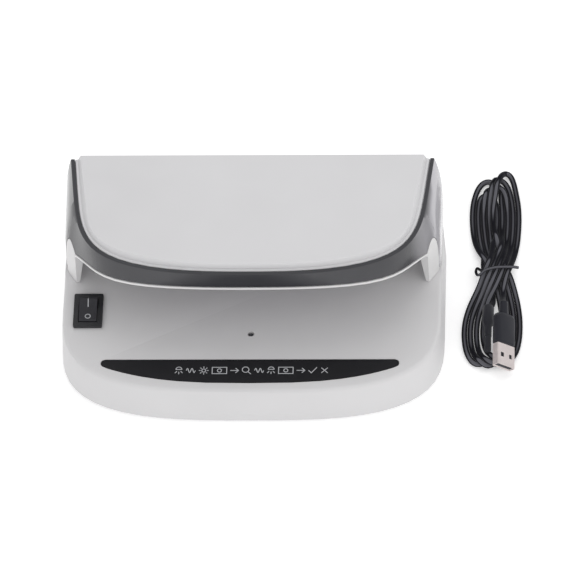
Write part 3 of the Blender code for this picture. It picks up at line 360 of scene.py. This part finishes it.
def brass():
    finish = Finish("stamped_brass", (0.72, 0.53, 0.24), 0.28, 1.0)
    finish.vary_colour(finish.noise(1.5), 0.85, 1.05)
    finish.vary_roughness(finish.noise(0.5, 5.0), 0.08)
    finish.bump(finish.noise(0.3, vector=finish.stretched((1.0, 0.1, 1.0))), 0.004)
    return finish.material


def nickel_plate():
    """Warm nickel over stamped steel, with a drawn grain and soft handling marks."""
    finish = Finish("plug_nickel_plate", (0.76, 0.69, 0.68), 0.34, 1.0)
    finish.vary_colour(finish.noise(4.0, 4.0), 0.93, 1.05)
    finish.vary_roughness(finish.noise(0.8, 5.0), 0.06)
    finish.bump(finish.noise(0.35, 3.0, finish.stretched((1.0, 0.08, 1.0))), 0.003)
    return finish.material


def zinc_steel():
    finish = Finish("screw_zinc_plate", (0.52, 0.52, 0.54), 0.3, 1.0)
    finish.vary_colour(finish.noise(1.0), 0.85, 1.1)
    finish.vary_roughness(finish.noise(0.4, 4.0), 0.08)
    finish.bump(finish.noise(0.25), 0.004)
    return finish.material


def foot_rubber():
    finish = Finish("foot_rubber", (0.035, 0.035, 0.036), 0.8)
    finish.vary_colour(finish.noise(2.0), 0.85, 1.2)
    finish.bump(finish.noise(0.3, 4.0), 0.03)
    return finish.material


def cord_pvc():
    """Soft black sheath: a painted highlight where it faces the eye, dusty patches, a fine extrusion
    ripple.
    """
    finish = Finish("cord_pvc_painted_gleam", (0.0085, 0.0085, 0.0115), 0.4)
    finish.set("Specular IOR Level", 0.03)
    finish.vary_colour(finish.noise(14.0, 4.0), 0.75, 1.35)
    # painted highlight: grey mixed in along each strand where it faces the eye
    finish.paint_light_by_facing((0.12, 0.12, 0.135), 0.315, 0.225)
    finish.vary_roughness(finish.noise(3.0, 4.0), 0.05)
    finish.bump(finish.noise(1.2, 2.0), 0.008)
    return finish.material


def plug_grip_pvc():
    finish = moulded_plastic("plug_grip_pvc", (0.0185, 0.019, 0.0255), 0.46, 0.3, 0.014)
    finish.set("Specular IOR Level", 0.25)
    return finish.material


def wire_insulation(name, colour):
    finish = Finish(name, colour, 0.4)
    finish.vary_colour(finish.noise(6.0), 0.9, 1.1)
    finish.bump(finish.noise(0.8), 0.006)
    return finish.material


def floor_white():
    """A plain pale sweep that glows a little, as a lit product table does."""
    finish = Finish("studio_floor", (0.86, 0.86, 0.86), 0.6)
    finish.vary_colour(finish.noise(300.0), 0.995, 1.005)
    finish.set("Specular IOR Level", 0.0)
    finish.set("Emission Color", (1.0, 1.0, 1.0, 1.0))
    finish.set("Emission Strength", 0.36)
    return finish.material


# ---------------------------------------------------------------- carried-over CAD nodes


def smoothing_group():
    """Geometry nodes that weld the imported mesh, drop its facet normals and mark its sharp edges."""
    group = bpy.data.node_groups.new("soft_shading", "GeometryNodeTree")
    group.interface.new_socket("Geometry", in_out="INPUT", socket_type="NodeSocketGeometry")
    group.interface.new_socket("Geometry", in_out="OUTPUT", socket_type="NodeSocketGeometry")
    start = group.nodes.new("NodeGroupInput")
    end = group.nodes.new("NodeGroupOutput")
    weld = group.nodes.new("GeometryNodeMergeByDistance")
    weld.inputs["Distance"].default_value = WELD_DISTANCE * MM
    angle = group.nodes.new("GeometryNodeInputMeshEdgeAngle")
    sharp = group.nodes.new("FunctionNodeCompare")
    sharp.operation = "GREATER_THAN"
    sharp.inputs["B"].default_value = math.radians(SHARP_ANGLE)
    shade = group.nodes.new("GeometryNodeSetMeshNormal")
    shade.mode = "SHARPNESS"
    links = group.links
    links.new(start.outputs["Geometry"], weld.inputs["Geometry"])
    links.new(weld.outputs["Geometry"], shade.inputs["Mesh"])
    links.new(angle.outputs["Unsigned Angle"], sharp.inputs["A"])
    links.new(sharp.outputs["Result"], shade.inputs["Edge Sharpness"])
    links.new(shade.outputs["Mesh"], end.inputs["Geometry"])
    return group


def soften(node, group, edge_mm=0.0):
    """Smooth shading over a CAD node's facets and, where edge_mm is given, rounded edges."""
    weld = node.modifiers.new("soft_shading", "NODES")
    weld.node_group = group
    if edge_mm > 0.0:
        planar = node.modifiers.new("flat_faces", "DECIMATE")
        planar.decimate_type = "DISSOLVE"
        planar.angle_limit = math.radians(FLAT_ANGLE)
        rounding = node.modifiers.new("edges", "BEVEL")
        rounding.width = edge_mm * MM
        rounding.segments = 2
        rounding.limit_method = "ANGLE"
        rounding.angle_limit = math.radians(SHARP_ANGLE)
        rounding.harden_normals = True
        rounding.use_clamp_overlap = True


def finish_cad_nodes(nodes, looks):
    """Gives every CAD node its material and softened shading; numbered nodes share their stem's look."""
    group = smoothing_group()
    for name, node in nodes.items():
        stem = name.rstrip("0123456789").rstrip("_")
        material, edge_mm = looks[name] if name in looks else looks[stem]
        node.data.materials.clear()
        node.data.materials.append(material)
        soften(node, group, edge_mm)


# ---------------------------------------------------------------- building blocks


def new_piece(name, points, faces, material, body, smooth_angle=SHARP_ANGLE):
    """A mesh piece in the detector's frame, given in millimetres, that rides on a body."""
    mesh = bpy.data.meshes.new(name)
    mesh.from_pydata([Vector(p) * MM for p in points], [], faces)
    mesh.validate()
    mesh.shade_smooth()
    mesh.set_sharp_from_angle(angle=math.radians(smooth_angle))
    mesh.materials.append(material)
    piece = bpy.data.objects.new(name, mesh)
    bpy.context.scene.collection.objects.link(piece)
    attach(piece, body)
    return piece


def bezier(start, handle_a, handle_b, end, steps):
    """Points along a cubic curve, without its start."""
    points = []
    for k in range(1, steps + 1):
        t = k / steps
        u = 1 - t
        shares = (u**3, 3 * u * u * t, 3 * u * t * t, t**3)
        corners = (start, handle_a, handle_b, end)
        points.append(sum((share * Vector(c) for share, c in zip(shares, corners)), Vector((0, 0, 0))))
    return points


def swept_tube(path, radius, sides):
    """A round tube along a smooth path, with flat ends."""
    points = []
    faces = []
    side = Vector((0.0, 0.0, 1.0))
    for k, centre in enumerate(path):
        along = (path[min(k + 1, len(path) - 1)] - path[max(k - 1, 0)]).normalized()
        side = (side - along * side.dot(along)).normalized()
        other = along.cross(side)
        for j in range(sides):
            turn = 2 * math.pi * j / sides
            points.append(centre + radius * (math.cos(turn) * side + math.sin(turn) * other))
    for k in range(len(path) - 1):
        for j in range(sides):
            after = (j + 1) % sides
            near, far = k * sides, (k + 1) * sides
            faces.append((near + j, near + after, far + after, far + j))
    faces.append(tuple(reversed(range(sides))))
    faces.append(tuple(range(len(points) - sides, len(points))))
    return points, faces


# ---------------------------------------------------------------- the hank of cord


def lobe(start, inner_handle, near_x, apex, far_x, wide_y, outer_handle, end):
    """One lobe from the waist: out to its near side, round the apex and back along its far side."""
    near = Vector((near_x, wide_y, 0.0))
    far = Vector((far_x, wide_y, 0.0))
    top = Vector((*apex, 0.0))
    rise = top.y - wide_y
    upwards = Vector((0.0, rise, 0.0))
    to_near = Vector((near.x - top.x, 0.0, 0.0))
    to_far = Vector((far.x - top.x, 0.0, 0.0))
    points = bezier(start, inner_handle, near - SIDE_HANDLE * upwards, near, SIDE_STEPS)
    shoulder = near + SHOULDER_HANDLE * upwards
    points += bezier(near, shoulder, top + APEX_HANDLE * to_near, top, APEX_STEPS)
    shoulder = far + SHOULDER_HANDLE * upwards
    points += bezier(top, top + APEX_HANDLE * to_far, shoulder, far, APEX_STEPS)
    points += bezier(far, far - SIDE_HANDLE * upwards, outer_handle, end, SIDE_STEPS)
    return points


def waist_point(turn):
    """Where a turn crosses the waist: the turns lie side by side, from left to right."""
    share = 2.0 * turn / (len(UPPER_LOBES) - 1) - 1.0
    return WAIST + Vector((WAIST_HALF_WIDTH * share, 0.0, 0.0))


def hank_path():
    """The cord's run in plan, from the round plug through every turn to the USB plug."""
    turns = len(UPPER_LOBES)
    first = waist_point(1)
    path = [ROUND_LEAD]
    path += bezier(ROUND_LEAD, ROUND_LEAD + LEAD_HANDLE, first - LEAN_LEFT, first, LEAD_STEPS)
    for turn in range(turns):
        waist = waist_point(turn)
        left, right, apex, wide = UPPER_LOBES[turn]
        start = path[-1]
        path += lobe(start, start + LEAN_LEFT, left, apex, right, wide, waist + LEAN_RIGHT, waist)
        if turn < turns - 1:
            left, right, apex, wide = LOWER_LOBES[turn]
            rising = waist_point(turn + 1)
            path += lobe(waist, waist - LEAN_RIGHT, left, apex, right, wide, rising - LEAN_LEFT, rising)
    waist = path[-1]
    path += bezier(waist, waist - LEAN_RIGHT, USB_LEAD + LEAD_HANDLE, USB_LEAD, LEAD_STEPS)
    return path


def resampled(path, step):
    """The same path with points a fixed step apart."""
    lengths = [0.0]
    for before, after in zip(path, path[1:]):
        lengths.append(lengths[-1] + (after - before).length)
    places = np.linspace(0.0, lengths[-1], int(lengths[-1] / step) + 1)
    columns = [np.interp(places, lengths, [point[axis] for point in path]) for axis in range(3)]
    return np.stack(columns, axis=1)


def stacked(points):
    """Start heights: each turn above the one before, falling strands over rising ones at the waist."""
    near_waist = np.exp(-(((points[:, 1] - WAIST.y) / CROSSING_REACH) ** 2))
    falling = np.gradient(points[:, 1]) < 0.0
    turn = np.linspace(0.0, 1.0, len(points))
    lift = CORD_LAYERS * turn + np.where(falling, CROSSING_LIFT, 0.0) * near_waist
    points[:, 2] = CORD_RADIUS + 2.0 * CORD_RADIUS * lift
    return points


def smooth(points, share):
    """Moves each point a share of the way to the middle of its neighbours."""
    middle = 0.5 * (points[:-2] + points[2:])
    points[1:-1] += share * (middle - points[1:-1])


def settled(points, rounds):
    """Lets the cord settle: its strands push each other apart, bend smoothly and sink to the table."""
    count = len(points)
    home = points.copy()
    index = np.arange(count)
    same_strand = np.abs(index[:, None] - index[None, :]) <= CORD_NEIGHBOURS
    thickness = 2.0 * CORD_RADIUS
    for turn in range(rounds):
        points[:, 2] -= SINK * (1.0 - turn / rounds)
        smooth(points, STIFFNESS)
        points[:, :2] += HOLD * (home[:, :2] - points[:, :2])
        squares = (points**2).sum(axis=1)
        apart = squares[:, None] + squares[None, :] - 2.0 * points @ points.T
        apart[same_strand] = math.inf
        rows, columns = np.nonzero(apart < thickness**2)
        gap = points[rows] - points[columns]
        reach = np.sqrt((gap**2).sum(axis=1))[:, None] + 1e-6
        way = gap / reach
        way[:, 2] += CLIMB * np.sign(home[rows, 2] - home[columns, 2])
        way /= np.linalg.norm(way, axis=1)[:, None]
        moves = np.zeros_like(points)
        hits = np.zeros(count)
        np.add.at(moves, rows, 0.5 * (thickness - reach) * way)
        np.add.at(hits, rows, 1.0)
        points += PUSH * moves / np.maximum(hits, 1.0)[:, None]
        near_tie = np.exp(-(((points[:, 1] - WAIST.y) / TIE_LIFT_REACH) ** 2))
        points[:, 2] = np.maximum(points[:, 2], CORD_RADIUS + TIE_LIFT * near_tie)
        points[:PINNED] = home[:PINNED]
        points[-PINNED:] = home[-PINNED:]
    smooth(points, STIFFNESS)
    smooth(points, STIFFNESS)
    return points


def hank_points():
    """The middle of the settled cord."""
    step = 2.0 * CORD_RADIUS * CORD_STEP
    points = stacked(resampled(hank_path(), step))
    for k in range(PINNED):
        points[k, 2] = ROUND_LEAD.z
        points[-1 - k] = USB_LEAD + k * step * USB_LEAD_RISE
    return settled(points, SETTLING_ROUNDS)


def build_hank(pvc, points):
    """The whole cord as one tube, from plug to plug."""
    tube_points, faces = swept_tube([Vector(point) for point in points], CORD_RADIUS, CORD_SIDES)
    return new_piece("cord_hank", tube_points, faces, pvc, "cable", ROUND_ANGLE)


def keep_out_of_reflections(hank, tie, nodes):
    """Hides the cord from reflections, because the polished band beside it mirrors only the studio."""
    plug = [node for name, node in nodes.items() if name.startswith(("usb_plug", "round_plug"))]
    for piece in [hank, tie, *plug]:
        piece.visible_glossy = False


def build_tie(pvc, points):
    """A twist tie: once round the waist, with an open eye on the left and a short tail on the right."""
    bundle = points[np.abs(points[:, 1] - WAIST.y) < TIE_BUNDLE]
    left = bundle[:, 0].min() - CORD_RADIUS - TIE_RADIUS
    right = bundle[:, 0].max() + CORD_RADIUS + TIE_RADIUS
    top = bundle[:, 2].max() + CORD_RADIUS + TIE_RADIUS
    middle = 0.5 * (left + right)
    low = TIE_RADIUS + 0.05
    half = 0.5 * top
    over = [
        (right + 2.0, 1.6, top - 1.9),
        (right - 1.2, 1.1, top - 0.5),
        (middle, 0.2, top + 0.3),
        (left + 2.8, -1.2, top - 0.4),
    ]
    eye = [
        (left + 0.9, -3.2, half + 1.6),
        (left - 0.8, -2.6, half + 0.8),
        (left - 1.5, 0.6, half + 0.4),
        (left - 0.8, 4.0, half),
    ]
    under = [
        (left + 1.2, 4.4, low),
        (middle, 2.4, low),
        (right - 2.0, 1.4, low),
    ]
    at_waist = Vector((0.0, WAIST.y, 0.0))
    path = resampled([Vector(place) + at_waist for place in over + eye + under], TIE_STEP)
    for _ in range(TIE_SMOOTHING):
        smooth(path, 0.5)
    tube_points, faces = swept_tube([Vector(place) for place in path], TIE_RADIUS, TIE_SIDES)
    return new_piece("cord_tie", tube_points, faces, pvc, "cable", ROUND_ANGLE)


# ---------------------------------------------------------------- printed marks


def arc(x, y, radius, start, end, steps=18):
    """Points along an arc, with angles in degrees."""
    points = []
    for k in range(steps + 1):
        angle = math.radians(start + (end - start) * k / steps)
        points.append((x + radius * math.cos(angle), y + radius * math.sin(angle)))
    return points


def box_outline(x, y, width, height):
    """A closed rectangle round a middle."""
    low_x, high_x = x - width / 2, x + width / 2
    low_y, high_y = y - height / 2, y + height / 2
    return [(low_x, low_y), (high_x, low_y), (high_x, high_y), (low_x, high_y), (low_x, low_y)]


def ray(x, y, degrees, near, far):
    """A straight stroke that points away from a middle."""
    way = (math.cos(math.radians(degrees)), math.sin(math.radians(degrees)))
    return [(x + way[0] * reach, y + way[1] * reach) for reach in (near, far)]


def symbol_lamp(x, y):
    """A lamp that shines downwards."""
    strokes = [arc(x, y + 0.7, 1.5, 0.0, 180.0) + [(x - 1.5, y + 0.7), (x + 1.5, y + 0.7)]]
    strokes += [ray(x, y + 0.7, degrees, 1.5, 3.0) for degrees in (-130.0, -90.0, -50.0)]
    return strokes


def symbol_wave(x, y):
    """Two periods of a sine."""
    steps = 30
    points = []
    for k in range(steps + 1):
        share = k / steps
        points.append((x - 2.3 + 4.6 * share, y + 1.3 * math.sin(math.tau * 2.0 * share)))
    return [points]


def symbol_note(x, y):
    """A banknote: a rectangle with a round field."""
    return [box_outline(x, y, 7.4, 4.0), arc(x, y, 1.05, 0.0, 360.0)]


def symbol_arrow(x, y):
    return [[(x - 2.1, y), (x + 2.1, y)], [(x + 0.6, y - 1.5), (x + 2.1, y), (x + 0.6, y + 1.5)]]


def symbol_lens(x, y):
    return [arc(x - 0.5, y + 0.5, 1.7, 0.0, 360.0), ray(x - 0.5, y + 0.5, -45.0, 1.7, 3.9)]


def symbol_sun(x, y):
    return [arc(x, y, 1.0, 0.0, 360.0)] + [ray(x, y, 45.0 * k, 1.6, 2.5) for k in range(8)]


def symbol_tick(x, y):
    return [[(x - 2.0, y), (x - 0.6, y - 1.6), (x + 2.2, y + 1.9)]]


def symbol_cross(x, y):
    return [ray(x, y, 45.0, -2.3, 2.3), ray(x, y, 135.0, -2.3, 2.3)]


def ribbon(stroke, width):
    """A flat strip of even width along a run of points in plan, with faces that look up."""
    spots = [Vector((*spot, 0.0)) for spot in stroke]
    closed = (spots[0] - spots[-1]).length < 0.01
    points = []
    for k, spot in enumerate(spots):
        before = spots[k - 1] if k else (spots[-2] if closed else None)
        after = spots[k + 1] if k < len(spots) - 1 else (spots[1] if closed else None)
        into = (spot - before).normalized() if before is not None else (after - spot).normalized()
        onward = (after - spot).normalized() if after is not None else into
        side = Vector((-into.y - onward.y, into.x + onward.x, 0.0)).normalized()
        turn = max(side.dot(Vector((-into.y, into.x, 0.0))), 0.5)
        points += [spot + side * (0.5 * width / turn), spot - side * (0.5 * width / turn)]
    faces = [(2 * k, 2 * k + 1, 2 * k + 3, 2 * k + 2) for k in range(len(spots) - 1)]
    return points, faces


def subdivided(stroke, step=0.4):
    """The same stroke with its long runs cut up, so that it can follow a curved face."""
    points = [stroke[0]]
    for (x0, y0), (x1, y1) in zip(stroke, stroke[1:]):
        count = max(1, int(math.hypot(x1 - x0, y1 - y0) / step))
        points += [(x0 + (x1 - x0) * k / count, y0 + (y1 - y0) * k / count) for k in range(1, count + 1)]
    return points


def printed(name, strokes, width, target, ink, body):
    """Ink strokes, given in plan, laid onto a CAD node from above."""
    bpy.context.view_layer.update()
    node = target.evaluated_get(bpy.context.evaluated_depsgraph_get())
    into_node = target.matrix_world.inverted()
    down = (into_node.to_3x3() @ Vector((0.0, 0.0, -1.0))).normalized()
    points = []
    faces = []
    for stroke in strokes:
        flat, strip = ribbon(subdivided(stroke), width)
        faces += [tuple(len(points) + corner for corner in face) for face in strip]
        for spot in flat:
            above = into_node @ (Vector((spot.x, spot.y, ABOVE_ALL)) * MM)
            hit, place, _, _ = node.ray_cast(above, down)
            if not hit:
                raise ValueError(f"{name} misses its node")
            landed = target.matrix_world @ place
            points.append(landed / MM + Vector((0.0, 0.0, INK_HEIGHT)))
    return new_piece(name, points, faces, ink, body, ROUND_ANGLE)


def build_marks(nodes, ink):
    """On and off symbols on the rocker, and a row of pictograms on the name plate."""
    rocker = nodes["switch_rocker"]
    bar = [[(SWITCH_MARK_X, y) for y in SWITCH_BAR_Y]]
    printed("rocker_mark_on", bar, SWITCH_BAR_WIDTH, rocker, ink, "rocker")
    ring = [arc(SWITCH_MARK_X, SWITCH_RING_Y, SWITCH_RING_RADIUS, 0.0, 360.0, 28)]
    printed("rocker_mark_off", ring, INK_WIDTH, rocker, ink, "rocker")
    row = (  # each symbol and its width
        (symbol_lamp, 5.0), (symbol_wave, 5.6), (symbol_sun, 6.0), (symbol_note, 8.4),
        (symbol_arrow, 5.2), (symbol_lens, 5.6), (symbol_wave, 5.6), (symbol_lamp, 5.0),
        (symbol_note, 8.4), (symbol_arrow, 5.2), (symbol_tick, 5.2), (symbol_cross, 5.4),
    )
    gap = (ROW_LENGTH - sum(width for _, width in row)) / (len(row) - 1)
    strokes = []
    x = ROW_MIDDLE[0] - ROW_LENGTH / 2
    for symbol, width in row:
        strokes += symbol(x + width / 2, ROW_MIDDLE[1])
        x += width + gap
    plate = nodes["name_plate"]
    printed("plate_pictograms", strokes, INK_WIDTH, plate, ink, "housing")


# ---------------------------------------------------------------- studio


def direction(azimuth, elevation):
    """The way from the detector to a place around it; azimuth 0 is in front of it, 90 on its right."""
    turn, rise = math.radians(azimuth), math.radians(elevation)
    return Vector((math.sin(turn) * math.cos(rise), -math.cos(turn) * math.cos(rise), math.sin(rise)))


def build_floor():
    mesh = bpy.data.meshes.new("floor")
    sheet = bmesh.new()
    bmesh.ops.create_grid(sheet, x_segments=1, y_segments=1, size=FLOOR_REACH)
    sheet.to_mesh(mesh)
    sheet.free()
    floor = bpy.data.objects.new("floor", mesh)
    bpy.context.scene.collection.objects.link(floor)
    mesh.materials.append(floor_white())
    floor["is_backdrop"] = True


def build_softbox(name, azimuth, elevation, distance, size, watts):
    """A square softbox that lights the detector and isn't seen in its gloss."""
    away = direction(azimuth, elevation)
    data = bpy.data.lights.new(name, "AREA")
    data.size = size
    data.energy = watts
    lamp = bpy.data.objects.new(name, data)
    lamp.location = STUDIO_MIDDLE + away * distance
    lamp.rotation_euler = (-away).to_track_quat("-Z", "Y").to_euler()
    lamp.visible_glossy = False
    bpy.context.scene.collection.objects.link(lamp)


def build_studio():
    scene = bpy.context.scene
    world = bpy.data.worlds.new("studio")
    world.use_nodes = True
    background = world.node_tree.nodes["Background"]
    background.inputs["Color"].default_value = (1.0, 1.0, 1.0, 1.0)
    background.inputs["Strength"].default_value = WORLD_STRENGTH
    scene.world = world
    scene.view_settings.view_transform = "Standard"
    for softbox in SOFTBOXES:
        build_softbox(*softbox)


def build_camera():
    away = direction(CAMERA_AZIMUTH, CAMERA_ELEVATION)
    data = bpy.data.cameras.new("camera")
    data.lens = CAMERA_LENS
    data.clip_end = CAMERA_CLIP_END
    camera = bpy.data.objects.new("camera", data)
    camera.location = CAMERA_AIM + away * CAMERA_DISTANCE
    level = (-away).to_track_quat("-Z", "Y").to_matrix().to_4x4()
    roll = Matrix.Rotation(math.radians(-CAMERA_ROLL), 4, "Z")
    camera.matrix_world = Matrix.Translation(camera.location) @ level @ roll
    bpy.context.scene.collection.objects.link(camera)
    bpy.context.scene.camera = camera


# ---------------------------------------------------------------- the scene


def main():
    """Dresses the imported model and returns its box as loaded."""
    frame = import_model()
    cad_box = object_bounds()
    white = casing_white("casing_white_abs", (0.648, 0.642, 0.650))
    hood_white = casing_white("hood_white_abs", (0.700, 0.694, 0.698))
    cover_white = casing_white("cover_white_abs", (0.672, 0.668, 0.680))
    black = switch_black()
    grip = plug_grip_pvc()
    nickel = nickel_plate()
    zinc = zinc_steel()
    metal_brass = brass()
    board = solder_mask()
    looks = {  # material, and how far the edges are rounded in millimetres
        "base_top_shell": (white, 0.25),
        "bottom_cover": (white, 0.3),
        "hood_shell": (hood_white, 0.2),
        "hood_band": (band_black(), 0.25),
        "top_cover": (cover_white, 0.3),
        "hood_ceiling": (hood_white, 0.3),
        "lamp_window": (lamp_window_violet(), 0.15),
        "lamp_board": (board, 0.05),
        "control_board": (board, 0.05),
        "uv_lamp": (lamp_package(), 0.2),
        "name_plate": (name_plate_black(), 0.08),
        "note_sensor": (sensor_resin(), 0.05),
        "power_socket": (black, 0.15),
        "power_socket_pin": (nickel, 0.05),
        "switch_housing": (black, 0.2),
        "switch_rocker": (rocker_black(), 0.2),
        "switch_plunger": (metal_brass, 0.05),
        "contact_lever": (metal_brass, 0.03),
        "centre_terminal": (metal_brass, 0.05),
        "front_terminal": (metal_brass, 0.05),
        "supply_wire": (wire_insulation("wire_red_pvc", (0.42, 0.025, 0.02)), 0.0),
        "switched_wire": (wire_insulation("wire_orange_pvc", (0.55, 0.12, 0.02)), 0.0),
        "lamp_wire": (wire_insulation("wire_black_pvc", (0.02, 0.02, 0.022)), 0.0),
        "rubber_foot": (foot_rubber(), 0.2),
        "case_screw": (zinc, 0.05),
        "hood_screw": (zinc, 0.05),
        "ceiling_screw": (zinc, 0.05),
        "board_screw": (zinc, 0.05),
        "usb_cord": (cord_pvc(), 0.0),
        "usb_plug_grip": (grip, 0.3),
        "usb_plug_sleeve": (nickel, 0.1),
        "usb_plug_tongue": (grip, 0.1),
        "round_plug_grip": (grip, 0.1),
        "round_plug_barrel": (grip, 0.05),
    }
    finish_cad_nodes(frame["nodes"], looks)
    pvc = looks["usb_cord"][0]
    middle_line = hank_points()
    hank = build_hank(pvc, middle_line)
    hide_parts("usb_cord")
    tie = build_tie(pvc, middle_line)
    keep_out_of_reflections(hank, tie, frame["nodes"])
    build_marks(frame["nodes"], print_grey())
    build_floor()
    build_studio()
    build_camera()
    return cad_box


cad_bounds = main()
